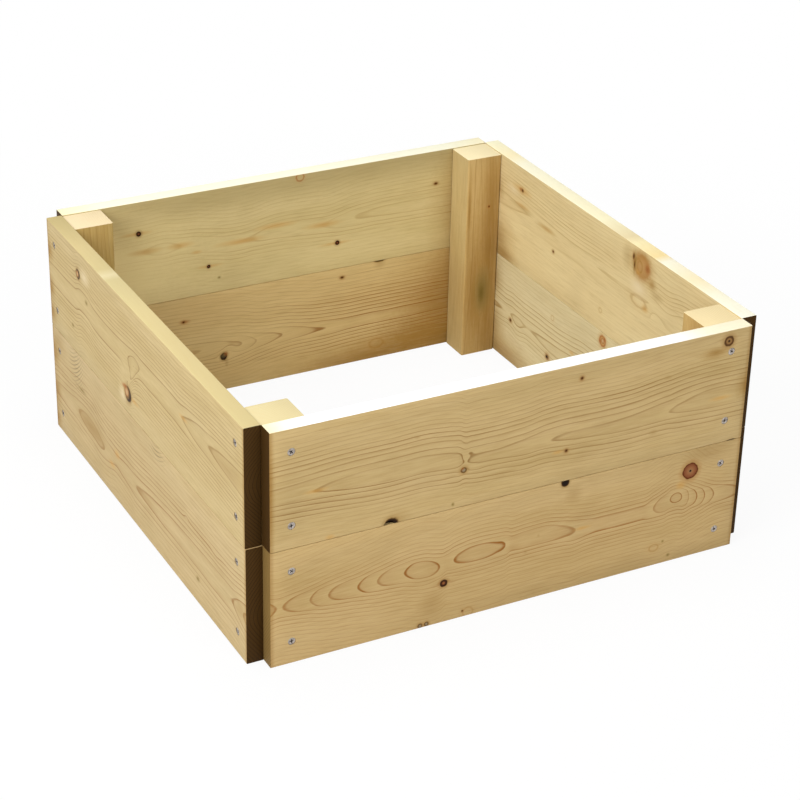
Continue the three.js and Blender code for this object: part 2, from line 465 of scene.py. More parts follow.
def dress(pattern, node, ending, matrix):
    """A copy of a pattern that stands for a CAD node and rides with the bed."""
    piece = copy_of(pattern, node + ending, matrix)
    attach(piece, "root")
    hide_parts(node)
    return piece


boards, posts, screws = {}, {}, {}
for quarter, side in enumerate(SIDES):
    side_turn = Matrix.Rotation(quarter * pi / 2, 4, "Z")
    turned = quarter % 2
    for course in COURSES:
        node = f"{side}_{course}_board"
        stand = side_turn @ Matrix.Translation((0, -outer_face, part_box(node)[0].z))
        pattern = long_board if node == "left_lower_board" else plain_boards[turned]
        if node == "front_upper_board":
            pattern = chipped_board
        boards[node] = dress(pattern, node, "_timber", stand)
        for end, way in ENDS.items():
            for level, z in screw_levels.items():
                place = into_wood(way * post_reach[turned], head_sink, z, 0)
                recess_turn = Matrix.Rotation(RECESS_TURN * len(screws), 4, "Z")
                name = f"{node}_screw_{end}_{level}"
                matrix = stand @ place @ recess_turn
                screws[name] = dress(screw_pattern, name, "_steel", matrix)
    stand = side_turn @ Matrix.Translation((-post_reach[turned], -post_reach[1 - turned], 0))
    posts[POSTS[quarter]] = dress(post_shapes[turned], POSTS[quarter], "_timber", stand)

for pattern in (screw_pattern, hole, long_board, chipped_board, *plain_boards, *post_shapes):
    bpy.data.objects.remove(pattern)
print(len(boards), "boards,", len(posts), "posts and", len(screws), "screws in place")

# %% [markdown]
# ## Shader sums in plain Python
# A wood finish is mostly arithmetic on distances. Wiring every sum by hand hides it in a maze of nodes, so a
# small class wraps a socket: adding or multiplying two of them adds the Math node, and one method adds any
# other node.


# %% The Wire class
class Wire:
    """An output socket of a shader tree that can be used in sums."""

    def __init__(self, tree, socket):
        self.tree = tree
        self.socket = socket

    @classmethod
    def node(cls, tree, kind, settings=None, inputs=None, output=0):
        """Adds a node: its settings first, then the values or wires of its inputs."""
        made = tree.nodes.new(kind)
        for name, value in (settings or {}).items():
            if name == "stops":
                cls.set_stops(made.color_ramp, value)
            elif name == "course":
                cls.set_course(made.mapping, value)
            else:
                setattr(made, name, value)
        for key, value in (inputs or {}).items():
            if isinstance(value, Wire):
                tree.links.new(value.socket, made.inputs[key])
            else:
                made.inputs[key].default_value = value
        return cls(tree, made.outputs[output])

    @staticmethod
    def set_stops(ramp, stops):
        """Puts (place, colour) stops on a ramp that starts with two."""
        while len(ramp.elements) < len(stops):
            ramp.elements.new(1.0)
        for element, (place, colour) in zip(ramp.elements, stops):
            element.position = place
            element.color = colour

    @staticmethod
    def set_course(mapping, points):
        """Puts (x, y) points on a curve that starts with two."""
        curve = mapping.curves[0]
        while len(curve.points) < len(points):
            curve.points.new(1.0, 1.0)
        for point, (x, y) in zip(curve.points, points):
            point.location = (x, y)
            point.handle_type = "AUTO_CLAMPED"
        mapping.update()

    def other(self, name):
        """Another output of the same node."""
        return Wire(self.tree, self.socket.node.outputs[name])

    def math(self, operation, other=0.0):
        return Wire.node(self.tree, "ShaderNodeMath", {"operation": operation}, {0: self, 1: other})

    def reflected(self, operation, other):
        return Wire.node(self.tree, "ShaderNodeMath", {"operation": operation}, {0: other, 1: self})

    def vector(self, operation, other, output=0):
        settings = {"operation": operation}
        return Wire.node(self.tree, "ShaderNodeVectorMath", settings, {0: self, 1: other}, output)

    def scaled(self, amount):
        """A vector times a number."""
        inputs = {0: self, "Scale": amount}
        return Wire.node(self.tree, "ShaderNodeVectorMath", {"operation": "SCALE"}, inputs)

    def parts(self):
        """The three numbers of a vector."""
        first = Wire.node(self.tree, "ShaderNodeSeparateXYZ", None, {0: self})
        return first, first.other("Y"), first.other("Z")

    def ranged(self, low, high, to_low=0.0, to_high=1.0, smooth=False):
        """The value moved from one range to another and held at its ends."""
        kind = "SMOOTHSTEP" if smooth else "LINEAR"
        inputs = {"Value": self, 1: low, 2: high, 3: to_low, 4: to_high}
        return Wire.node(self.tree, "ShaderNodeMapRange", {"interpolation_type": kind}, inputs)

    def __add__(self, other):
        return self.math("ADD", other)

    def __radd__(self, other):
        return self.reflected("ADD", other)

    def __sub__(self, other):
        return self.math("SUBTRACT", other)

    def __rsub__(self, other):
        return self.reflected("SUBTRACT", other)

    def __mul__(self, other):
        return self.math("MULTIPLY", other)

    def __rmul__(self, other):
        return self.reflected("MULTIPLY", other)

    def __truediv__(self, other):
        return self.math("DIVIDE", other)

    def __abs__(self):
        return self.math("ABSOLUTE")


def mixed(factor, first, second, blend="MIX"):
    """One colour turned into another by a factor from 0 to 1."""
    settings = {"data_type": "RGBA", "blend_type": blend, "clamp_factor": True}
    return Wire.node(factor.tree, "ShaderNodeMix", settings, {0: factor, 6: first, 7: second}, 2)


def colour(red, green, blue, alpha=1.0):
    """A colour given in screen values from 0 to 255, as the linear light that shaders use."""
    linear = []
    for value in (red, green, blue):
        share = value / 255
        linear.append(share / 12.92 if share <= 0.04045 else ((share + 0.055) / 1.055) ** 2.4)
    return (*linear, alpha)


def new_finish(name):
    """An empty material, as (material, its tree, its surface shader)."""
    material = bpy.data.materials.new(name)
    material.use_nodes = True
    tree = material.node_tree
    return material, tree, tree.nodes["Principled BSDF"]


def coat(piece, *materials):
    """Gives a piece these materials in place of any that it has."""
    piece.data.materials.clear()
    for material in materials:
        piece.data.materials.append(material)


def feed(surface, **values):
    """Sets shader sockets to numbers, or links them to wires."""
    for name, value in values.items():
        socket = surface.inputs[name.replace("_", " ").title()]
        if isinstance(value, Wire):
            value.tree.links.new(value.socket, socket)
        else:
            socket.default_value = value


print("wires ready")

# %% [markdown]
# ## How pine gets its figure
# A board is a slice out of a round stem, so its lines are the stem's growth rings, cut at an angle. The
# finish is a solid one: at each point it counts the rings that lie between the stem's middle and the point.
# The count rises away from the board's middle line, falls with depth, and rises and falls along the board as
# the stem swells and bends. Every whole number is one dark line, so nested arrows and closed ovals appear by
# themselves, and the end faces show arcs. A picture of wood laid on each face would not agree round the
# corners.
#
# A branch leaves a knot. Round it the rings are pushed aside, so the finish first pulls each point back
# towards where the wood would have been, and then paints the knot over it.

# %% Words for the figure, in millimetres along, up and into a piece
Knot = namedtuple("Knot", "along up radius kind stretch flow", defaults=(1.0, 0.0))
Eye = namedtuple("Eye", "along up half_length half_height rings lean", defaults=(0.0,))
Ripple = namedtuple("Ripple", "along up half_length half_height lean")
Figure = namedtuple(
    "Figure",
    "wood shade line up ring across rings drift weight knots eyes ripples fades seed face",
    defaults=((), (), (), (), (), (), 0.0, None),
)

# Each kind of knot is a list of stops, from its middle outwards: the distance from the middle in radii, then
# red, green and blue, and how much of the wood is covered if that isn't all of it
KNOT_REACH = 3.0
KNOT_KINDS = {
    "red": [
        (0, 26, 16, 8), (0.11, 44, 26, 12), (0.17, 142, 106, 70), (0.32, 150, 100, 60),
        (0.52, 140, 88, 54), (0.78, 126, 72, 40), (0.92, 92, 42, 16), (1, 96, 50, 20),
        (1.08, 166, 120, 64, 0.6), (1.7, 176, 130, 74, 0),
    ],
    "ringed": [
        (0, 46, 30, 16), (0.16, 62, 40, 20), (0.28, 132, 98, 56), (0.50, 148, 110, 62),
        (0.64, 108, 74, 38), (0.80, 82, 54, 26), (0.98, 92, 62, 30), (1.14, 152, 112, 60, 0.55),
        (2, 172, 126, 70, 0),
    ],
    "eyed": [
        (0, 150, 92, 50), (0.25, 132, 78, 40), (0.50, 62, 32, 12), (0.92, 54, 28, 10),
        (1.12, 150, 108, 56, 0.5), (1.9, 176, 130, 74, 0),
    ],
    "dark": [
        (0, 122, 70, 40), (0.36, 92, 48, 24), (0.62, 40, 20, 8), (0.96, 46, 26, 10),
        (1.14, 146, 104, 54, 0.5), (2, 176, 128, 70, 0),
    ],
    "pin": [
        (0, 70, 40, 14), (0.5, 90, 54, 22), (0.95, 132, 90, 44, 0.75), (1.6, 168, 124, 66, 0.3),
        (2.6, 178, 134, 76, 0),
    ],
    "olive": [
        (0, 118, 98, 44, 0.85), (0.5, 128, 106, 50, 0.7), (1, 144, 122, 64, 0.4), (1.8, 160, 140, 84, 0),
    ],
    "pale": [
        (0, 128, 120, 100), (0.35, 146, 128, 96), (0.62, 112, 86, 52), (0.86, 104, 74, 38),
        (1.15, 162, 124, 68, 0.5), (2.2, 182, 144, 86, 0),
    ],
    "beige": [
        (0, 192, 162, 120), (0.40, 188, 152, 106), (0.76, 174, 130, 82), (0.94, 146, 100, 54, 0.85),
        (1.14, 176, 134, 78, 0.4), (1.6, 186, 148, 90, 0),
    ],
    "soft": [
        (0, 184, 144, 92, 0.95), (0.45, 178, 136, 80, 0.95), (0.80, 170, 124, 66, 0.9),
        (1, 172, 130, 72, 0.6), (1.35, 184, 146, 86, 0.2), (1.8, 190, 154, 96, 0),
    ],
    "rust": [
        (0, 148, 84, 40, 0.8), (0.6, 158, 96, 48, 0.6), (1, 170, 114, 60, 0.3), (1.7, 182, 134, 78, 0),
    ],
    "smudge": [(0, 152, 118, 64, 0.38), (0.8, 158, 126, 72, 0.26), (1.8, 166, 136, 82, 0)],
    # Stains: real stains, and where they sit in the inner corner by the back right post, painted shade as
    # well
    "stain_and_shade": [
        (0, 148, 108, 40, 0.75), (0.5, 152, 112, 44, 0.60), (1.1, 160, 122, 54, 0.25),
        (1.8, 166, 130, 64, 0),
    ],
    "grey": [(0, 134, 114, 70, 0.42), (0.7, 140, 120, 76, 0.30), (1.8, 152, 132, 86, 0)],
    "bright": [(0, 230, 214, 178, 0.55), (0.6, 226, 208, 168, 0.38), (1.6, 222, 202, 158, 0)],
    # A painted pool of light, not a mark on the wood
    "painted_light": [
        (0, 252, 234, 172, 0.6), (0.6, 252, 234, 172, 0.48), (1.1, 248, 230, 168, 0.25),
        (1.8, 246, 228, 166, 0),
    ],
    "streak": [
        (0, 198, 148, 72, 0.55), (0.6, 200, 152, 78, 0.42), (1.1, 204, 158, 86, 0.2),
        (1.6, 206, 164, 94, 0),
    ],
    "hollow": [
        (0, 22, 13, 5), (0.80, 34, 20, 8), (1, 74, 48, 20), (1.25, 150, 116, 62, 0.4),
        (1.8, 176, 144, 86, 0),
    ],
    "loop": [
        (0, 204, 162, 100, 0.1), (0.60, 200, 154, 90, 0.15), (0.80, 160, 96, 44, 0.65),
        (0.97, 160, 94, 42, 0.65), (1.15, 190, 146, 84, 0.15), (2, 190, 146, 84, 0),
    ],
    "faint": [
        (0, 204, 168, 106, 0), (0.62, 190, 148, 84, 0.1), (0.80, 162, 118, 54, 0.4),
        (0.96, 162, 118, 54, 0.4), (1.15, 190, 148, 84, 0.1), (2, 190, 148, 84, 0),
    ],
}
print(len(KNOT_KINDS), "kinds of knot")


# %% Where a point lies in the stem
CURVE_SPAN = 64.0  # the curves hold values from minus half of this to half of it
ACROSS_SPAN = 160.0  # the widest offset from the middle line that a curve across holds


def piece_space(tree, turn, start):
    """Object coordinates in a piece's own millimetres: along the grain, into the wood and across."""
    place = Wire.node(tree, "ShaderNodeTexCoord", output=3)
    return Wire.node(tree, "ShaderNodeMapping", None, {
        "Vector": place, "Scale": (1 / MM, 1 / MM, 1 / MM), "Rotation": turn, "Location": start,
    })


def noise(point, lumps, seed=0.0, detail=2.0, roughness=0.5):
    """Noise from about -1 to 1 whose lumps have the given size along each axis, in millimetres."""
    spot = Wire.node(point.tree, "ShaderNodeMapping", None, {
        "Vector": point, "Scale": tuple(1 / size for size in lumps),
        "Location": (seed * 3.7 + 1, seed * 1.3 + 2, seed * 2.1 + 3),
    })
    inputs = {"Vector": spot, "Scale": 1.0, "Detail": detail, "Roughness": roughness}
    return (Wire.node(point.tree, "ShaderNodeTexNoise", None, inputs) - 0.5) * 2.0


def distance_in(offset, sizes):
    """The length of an offset, measured in sizes of its own along each axis. None leaves an axis out."""
    scale = tuple(0.0 if size is None else 1 / size for size in sizes)
    return offset.vector("MULTIPLY", scale).vector("LENGTH", (0, 0, 0), "Value")


def bell(distance):
    """1 in the middle, falling smoothly to nothing at about twice the size."""
    return (distance * distance * -1.0).math("EXPONENT")


def follow(value, points, low, high):
    """A curve through (place, value) points, for places from low to high."""
    floor_value = -CURVE_SPAN / 2
    course = [((place - low) / (high - low), (level - floor_value) / CURVE_SPAN) for place, level in points]
    spot = (value - low) / (high - low)
    curve = Wire.node(value.tree, "ShaderNodeFloatCurve", {"course": course}, {"Value": spot})
    return curve * CURVE_SPAN + floor_value


def bump_at(point, eye):
    """A smooth bump round one place, whose upright axis may lean."""
    offset = point.vector("SUBTRACT", (eye.along, 0, eye.up))
    if eye.lean:
        height = offset.vector("DOT_PRODUCT", (0, 0, 1), "Value")
        shift = Wire.node(point.tree, "ShaderNodeCombineXYZ", None, {"X": height * eye.lean})
        offset = offset.vector("SUBTRACT", shift)
    return bell(distance_in(offset, (eye.half_length, None, eye.half_height))) * eye.rings


def stem(point, figure, reach):
    """The rings from the stem's middle to the point, and its offset from the board's middle line."""
    moved = point
    for knot in figure.knots:
        if knot.flow:
            offset = point.vector("SUBTRACT", (knot.along, 0, knot.up))
            sizes = (knot.radius * knot.flow * 1.5, None, knot.radius * knot.flow * 0.62)
            lift = offset.vector("MULTIPLY", (0, 0, 1)).scaled(bell(distance_in(offset, sizes)))
            moved = moved.vector("SUBTRACT", lift)
    along, deep, up = moved.parts()
    sway = noise(point, (120, 90, 50), figure.seed) * 1.3 + noise(point, (34, 60, 12), figure.seed + 5) * 0.5
    across = up - figure.up + sway
    if figure.drift:
        across = across - follow(along, figure.drift, 0.0, reach)
    rings = follow(across, figure.across, -ACROSS_SPAN, ACROSS_SPAN) - deep / figure.ring
    rings = rings + follow(along, figure.rings, 0.0, reach)
    for eye in figure.eyes:
        rings = rings + bump_at(point, eye)
    return rings, across


print("stem sums ready")


# %% [markdown]
# ## From rings to colour
# A year's ring starts pale and soft in spring and ends hard and dark in autumn, then breaks off sharply.
# The dark share differs from year to year, so each ring draws its own strength, and the lines are strongest
# where the board's own weight curve says. On top of the rings come fine fibres, slow patches of yellow and
# grey-green from the treatment, the knots, handling stains near the ends, and the pale planed edge. Among the
# knots, some stains also stand for painted shade in the inner corner by the back right post, and one patch is
# painted light. Most planed top edges carry a painted highlight.

# %% Lines, knots and squeezed fibres
LINE_BEGIN, LINE_FULL, LINE_BREAK = 0.68, 0.93, 0.955  # shares of a ring
LATER_BEGIN, MIDDLE_WIDTH = 0.13, 15.0  # near the middle line a dark line is narrower
SQUEEZED = colour(104, 92, 60)
SQUEEZE_BEND, SQUEEZE_PITCH = 0.012, 1.15


def ring_lines(rings, across, seed):
    """0 in the pale wood and 1 in the dark line that ends each year, and how strong that year's line is."""
    year = rings.math("FLOOR")
    share = rings.math("FRACT")
    begin = bell(across / MIDDLE_WIDTH) * LATER_BEGIN + LINE_BEGIN
    dark = ((share - begin) / (LINE_FULL - begin)).ranged(0.0, 1.0, smooth=True)
    dark = dark * share.ranged(LINE_BREAK, 1.0, 1.0, 0.0, smooth=True)
    inputs = {"W": year * 0.37 + seed, "Scale": 2.3, "Detail": 0.0}
    luck = Wire.node(rings.tree, "ShaderNodeTexNoise", {"noise_dimensions": "1D"}, inputs)
    return dark, luck.ranged(0.30, 0.70, 0.55, 1.0)


def painted(point, base, knots, wobble):
    """Paints each knot over the wood: a coloured disc whose outline is a little uneven."""
    cover_sum = None
    for knot in knots:
        offset = point.vector("SUBTRACT", (knot.along, 0, knot.up))
        sizes = (knot.radius * knot.stretch, None, knot.radius)
        spread = distance_in(offset, sizes) * wobble
        stops = [(place / KNOT_REACH, colour(*tone)) for place, *tone in KNOT_KINDS[knot.kind]]
        ramp = Wire.node(point.tree, "ShaderNodeValToRGB", {"stops": stops}, {0: spread / KNOT_REACH})
        cover = ramp.other("Alpha")
        base = mixed(cover, base, ramp)
        cover_sum = cover if cover_sum is None else cover_sum.math("MAXIMUM", cover)
    return base, cover_sum


def rippled(point, base, ripples):
    """Short stacks of dark curved lines, where the fibres were squeezed."""
    along, _, up = point.parts()
    for ripple in ripples:
        offset = point.vector("SUBTRACT", (ripple.along, 0, ripple.up))
        share = bell(distance_in(offset, (ripple.half_length, None, ripple.half_height)))
        aside = along - ripple.along
        bend = aside * aside * SQUEEZE_BEND + aside * ripple.lean
        wave = ((up - bend) * SQUEEZE_PITCH).math("SINE").ranged(0.1, 1.0, smooth=True)
        base = mixed(wave * share * 0.6, base, SQUEEZED)
    return base


print("lines and knots ready")

# %% Pine finish
DARK_STREAK, PALE_STREAK = colour(146, 112, 60), colour(228, 206, 158)
DARK_FIBRE, DULL_PATCH = colour(140, 112, 66), colour(130, 108, 66)
HANDLED_END, PLANED_STREAK = colour(146, 104, 46), colour(190, 160, 96)


def pine(name, figure, turn, start, reach, top, edge, end_tones, band=0.45):
    """The finish of one piece of timber."""
    material, tree, surface = new_finish(name)
    point = piece_space(tree, turn, start)
    along, deep, up = point.parts()
    rings, across = stem(point, figure, reach)
    dark, luck = ring_lines(rings, across, figure.seed)
    weight = follow(across, figure.weight, -ACROSS_SPAN, ACROSS_SPAN)
    for fade in figure.fades:
        weight = weight * (bump_at(point, fade) + 1.0)
    slow = noise(point, (80, 60, 9), figure.seed + 7, detail=1.0)
    fibre = noise(point, (26, 0.5, 0.5), figure.seed + 2, detail=3.0)
    streaks = noise(point, (34, 3.0, 2.6), figure.seed + 8, detail=3.0, roughness=0.6)
    patches = noise(point, (160, 50, 30), figure.seed + 3)
    wide = noise(point, (70, 40, 60), figure.seed + 4, detail=1.0)
    wobble = 1.0 + noise(point, (4, 6, 4), figure.seed + 6) * 0.14
    wood = mixed(patches.ranged(-0.5, 0.6), figure.wood, figure.shade)
    if figure.face:
        wood = mixed(deep.ranged(0.5, 2.5, 0.85, 0.0), wood, figure.face)
    # Stains go under the ring lines; some of them are painted shade in the inner corner by the back right
    # post
    stains_and_shade = [knot for knot in figure.knots if knot.kind == "stain_and_shade"]
    knots = [knot for knot in figure.knots if knot.kind != "stain_and_shade"]
    if stains_and_shade:
        wood = painted(point, wood, stains_and_shade, wobble)[0]
    strength = dark * luck * weight * slow.ranged(-0.5, 0.4, 0.5, 1.05)
    wood = mixed(rings.math("FRACT") * weight * 0.16, wood, figure.line)
    wood = mixed(strength * 0.85, wood, figure.line)
    wood = mixed(streaks.ranged(0.0, 0.8) * 0.32, wood, DARK_STREAK)
    wood = mixed(streaks.ranged(0.0, -0.8) * 0.22, wood, PALE_STREAK)
    wood = mixed(fibre.ranged(-0.1, 0.9) * 0.22, wood, DARK_FIBRE)
    wood = mixed(wide.ranged(0.1, 0.8) * 0.14, wood, DULL_PATCH)
    wood = rippled(point, wood, figure.ripples)
    cover = None
    if knots:
        wood, cover = painted(point, wood, knots, wobble)
    from_end = reach / 2 - abs(along - reach / 2)
    if band:
        wood = mixed(from_end.ranged(0.5, 6.0, band, 0.0, smooth=True), wood, HANDLED_END)
    # The top edge takes pale planed wood with a painted highlight, from the edge tones
    if top is not None:
        stops = [(place / reach, colour(*tone)) for place, *tone in edge]
        planed_and_highlit = Wire.node(tree, "ShaderNodeValToRGB", {"stops": stops}, {0: along / reach})
        planed_and_highlit = mixed(streaks.ranged(0.0, 0.9) * 0.16, planed_and_highlit, PLANED_STREAK)
        wood = mixed(up.ranged(top - 0.9, top - 0.5), wood, planed_and_highlit)
    wood = mixed(from_end.ranged(0.12, 0.3, 1.0, 0.0), wood, mixed(dark * 0.8, *end_tones))
    rough = 0.66 + fibre * 0.05 - dark * 0.06
    height = strength * 0.5 + fibre * 0.35
    if cover is not None:
        rough = rough - cover * 0.12
        height = height - cover * 0.8
    inputs = {"Strength": 0.35, "Distance": 0.12 * MM, "Height": height}
    feed(surface, base_color=wood, roughness=rough, normal=Wire.node(tree, "ShaderNodeBump", None, inputs))
    surface.inputs["IOR"].default_value = 1.5
    surface.inputs["Specular IOR Level"].default_value = 0.08
    return material


print("pine ready")

# %% [markdown]
# ## The figure of each board
# No two boards look alike, so each has its own description: its tones, how the rings follow each other away
# from its middle line, how that line drifts, how the count rises and falls along it, and its knots. Lengths
# run from a board's left end on the outer faces of the front and left sides, and on the inner faces of the
# back and right sides, which are the faces that show. Heights are above the ground.


# %% Rings across a board
def spread_rings(below, above, spacing):
    """(offset, rings) points: the given ones near the middle line, then evenly spaced rings outwards."""
    points = [(0.0, 0.0)]
    for sign, near in ((-1, below), (1, above)):
        points += [(sign * offset, rings) for offset, rings in near]
        offset, rings = near[-1]
        points.append((sign * ACROSS_SPAN, rings + (ACROSS_SPAN - offset) / spacing))
    return sorted(points)


def even_rings(near, spacing):
    """The same rings on both sides of the middle line."""
    return spread_rings(near, near, spacing)


print("rings can be spread")

# %% Front boards
FIGURES = {}
FIGURES["front_upper_board"] = Figure(
    wood=colour(199, 172, 121), shade=colour(188, 162, 109), line=colour(134, 98, 50), up=205, ring=3.3,
    across=spread_rings(
        [(4, 0.25), (8, 0.7), (13, 1.7), (20, 2.7), (26, 3.7)],
        [(5, 0.15), (9, 0.4), (14, 0.8), (21, 1.8), (29, 2.8)], 4.2,
    ),
    rings=[
        (0, 3.3), (48, 3), (70, 2.72), (100, 2.4), (140, 2.22), (200, 2.25), (222, 2.35), (228, 2.72),
        (231, 3), (234, 3.02), (238, 2.86), (247, 2.7), (275, 2.6), (300, 2.35), (330, 2.08), (339, 2),
        (350, 1.85), (400, 1.6), (460, 1.3), (488, 1.05), (494, 1), (505, 0.75), (530, 0.4), (565, 0.16),
        (600, 0.15),
    ],
    drift=[
        (0, 4), (60, 3), (140, 1), (178, 2), (205, 0), (222, -2.5), (231, -4), (238, -4.5), (250, -5),
        (300, -6), (339, -3), (382, -5), (430, -7), (494, -3), (540, -2), (600, -2),
    ],
    weight=[
        (-160, 0.2), (-60, 0.22), (-32, 0.35), (-26, 0.85), (-12, 1), (20, 1), (44, 0.85), (54, 0.5),
        (70, 0.35), (160, 0.25),
    ],
    knots=[
        Knot(0, 215, 62, "stain_and_shade", 0.07), Knot(600, 215, 14, "stain_and_shade", 0.7),
        Knot(553, 265, 5.5, "stain_and_shade", 2.6), Knot(569.7, 276.6, 6.3, "ringed", 1, 2),
        Knot(375.7, 271.7, 2.3, "pin"), Knot(350, 185, 2, "streak", 3), Knot(361, 184.3, 2.2, "pin"),
        Knot(173, 245, 1.4, "smudge", 1.8), Knot(231, 191, 3.6, "pale", 1.1, 2.2),
        Knot(229.5, 193, 1.6, "rust"), Knot(565, 205, 2.4, "streak", 5),
        Knot(476, 181, 2.6, "smudge", 1.6), Knot(490, 248, 2, "smudge", 2),
        Knot(54, 209, 2.2, "streak", 5), Knot(70, 148, 2.6, "streak", 1.8),
        Knot(219, 151, 2, "olive", 0.8), Knot(150, 150, 9, "smudge", 1.3),
        Knot(143.5, 145, 7.2, "hollow", 1.1), Knot(586, 145, 1.6, "hollow", 4),
    ],
    eyes=[
        Eye(560, 220, 38, 7, -0.42), Eye(248, 190, 7, 4, -0.35), Eye(236, 212, 9, 4, -0.45),
        Eye(220, 184, 9, 5, 0.35), Eye(232, 238, 10, 18, -0.36),
    ],
    fades=[
        Eye(135, 217, 75, 5, -0.75), Eye(60, 193, 90, 9, 0.85), Eye(215, 188, 14, 5, 0.5),
        Eye(231, 203, 10, 10, 0.6), Eye(490, 240, 120, 12, 0.4),
    ],
    seed=1,
)
FIGURES["front_lower_board"] = Figure(
    wood=colour(199, 171, 120), shade=colour(187, 159, 106), line=colour(144, 92, 38), up=77.5, ring=3.7,
    across=even_rings([(5, 0.1), (8, 0.25), (10, 0.4), (15, 1.4), (20, 2.4)], 5),
    rings=[
        (0, 5.7), (5, 5.9), (11, 6.03), (17, 5.9), (46, 5), (68, 4), (103, 3), (127, 2),
        (160, 1), (183, 0.35), (200, 0.75), (206, 1), (214, 1.35), (222, 1), (232, 0.75),
        (255, 0.52), (276, 0.75), (289, 1), (297, 1.55), (312, 1.36), (335, 1.34), (362, 1.7),
        (381, 2), (396, 2.45), (410, 2.6), (470, 2.6), (484, 2), (496, 1.5), (506, 1.16), (515, 1.08),
        (524, 1.16), (530, 1.5), (534, 2), (546, 3), (557, 4), (570, 5), (585, 5.5), (600, 5.8),
    ],
    drift=[
        (0, -3), (103, -2), (127, -1), (160, 1), (183, -1), (206, -3), (214, 0), (255, 3), (290, 3),
        (335, 4), (365, 1), (381, -1), (430, -1), (470, -1), (484, 1), (500, 4), (515, 8), (526, 5),
        (550, 1), (575, -1), (600, -3),
    ],
    weight=[
        (-160, 0.25), (-40, 0.45), (-24, 0.7), (-14, 1), (14, 1), (22, 0.65), (34, 0.35), (160, 0.22),
    ],
    knots=[
        Knot(556, 136, 13, "smudge", 1.8), Knot(375, 124, 9, "smudge", 0.9),
        Knot(196, 28, 12, "smudge", 1), Knot(521, 101, 4.5, "streak", 1.2),
        Knot(532.5, 117, 10.3, "red", 1, 1.35), Knot(362.6, 143, 4.8, "hollow", 1, 1.2),
        Knot(210.8, 51.6, 4.8, "eyed", 1, 2.2), Knot(182.5, 3, 3.2, "pale"),
        Knot(190.5, 3.5, 3, "pale"), Knot(243, 5, 6.5, "faint", 1.1), Knot(236, 8, 1.3, "pin"),
        Knot(511, 9, 2, "olive"), Knot(490, 24, 5, "faint", 1.4), Knot(502, 30, 1.6, "olive"),
        Knot(389, 77, 2.2, "streak", 4), Knot(331, 82, 1.6, "smudge", 0.8),
        Knot(315, 65, 1.8, "smudge", 1.2),
    ],
    eyes=[Eye(516, 85, 7.6, 7.6, -0.62), Eye(560, 128, 30, 14, 1.2)],
    fades=[Eye(200, 76, 240, 13, 0.35), Eye(525, 82, 50, 18, 0.3), Eye(340, 80, 60, 14, 0.4)],
    seed=2,
)
print("front boards described")

# %% Left boards
FIGURES["left_upper_board"] = Figure(
    wood=colour(201, 180, 133), shade=colour(192, 170, 121), line=colour(136, 104, 54), up=221, ring=4.4,
    across=spread_rings(
        [(8, 0.3), (12, 0.6), (16, 0.95), (18, 1.2), (23, 2.2)],
        [(8, 0.3), (11, 0.5), (14, 0.8), (18, 1.2), (23, 2.2)], 5.2,
    ),
    rings=[
        (0, 1.2), (120, 1.15), (220, 1.25), (300, 1.15), (400, 1.1), (428, 1), (445, 0.75), (480, 0.2),
        (503, 0), (530, -0.3), (560, -0.55), (600, -0.85),
    ],
    drift=[
        (0, -1), (90, 0), (118, 6), (135, 5), (160, 0), (200, -2), (240, -1), (270, 1), (320, 2), (400, 1),
        (428, 0), (500, 1), (600, -1),
    ],
    weight=[
        (-160, 0.25), (-60, 0.35), (-50, 0.7), (-14, 1), (14, 1), (44, 0.9), (56, 0.5), (160, 0.35),
    ],
    knots=[
        Knot(130, 263, 9, "bright", 1.6), Knot(247, 163, 8, "bright", 1.3),
        Knot(556, 219, 9, "smudge", 5.5), Knot(4, 200, 12, "stain_and_shade", 0.9), Knot(4, 165, 12, "stain_and_shade", 0.9),
        Knot(4, 250, 12, "stain_and_shade", 0.9), Knot(284, 170, 2.4, "streak", 5),
        Knot(252, 176, 2.6, "rust", 2.2), Knot(107.5, 259, 6, "hollow", 1, 1.6),
        Knot(106, 258.6, 3.8, "beige"), Knot(264.5, 171, 9.2, "hollow"), Knot(260.6, 172, 6.4, "beige"),
        Knot(256, 178, 2.4, "rust", 2), Knot(133, 231.5, 2.6, "olive", 1.5),
        Knot(80, 179, 2.4, "olive", 1.4), Knot(436, 222, 2.4, "streak", 4),
    ],
    eyes=[
        Eye(284, 214, 14, 15, -1.3, 0.35), Eye(277, 195, 8, 12, -2.4, 0.5), Eye(262, 176, 12, 20, -6),
        Eye(308, 188, 18, 12, 0.8),
    ],
    fades=[Eye(252, 194, 13, 17, -1), Eye(284, 214, 16, 18, 0.5)],
    seed=3,
)
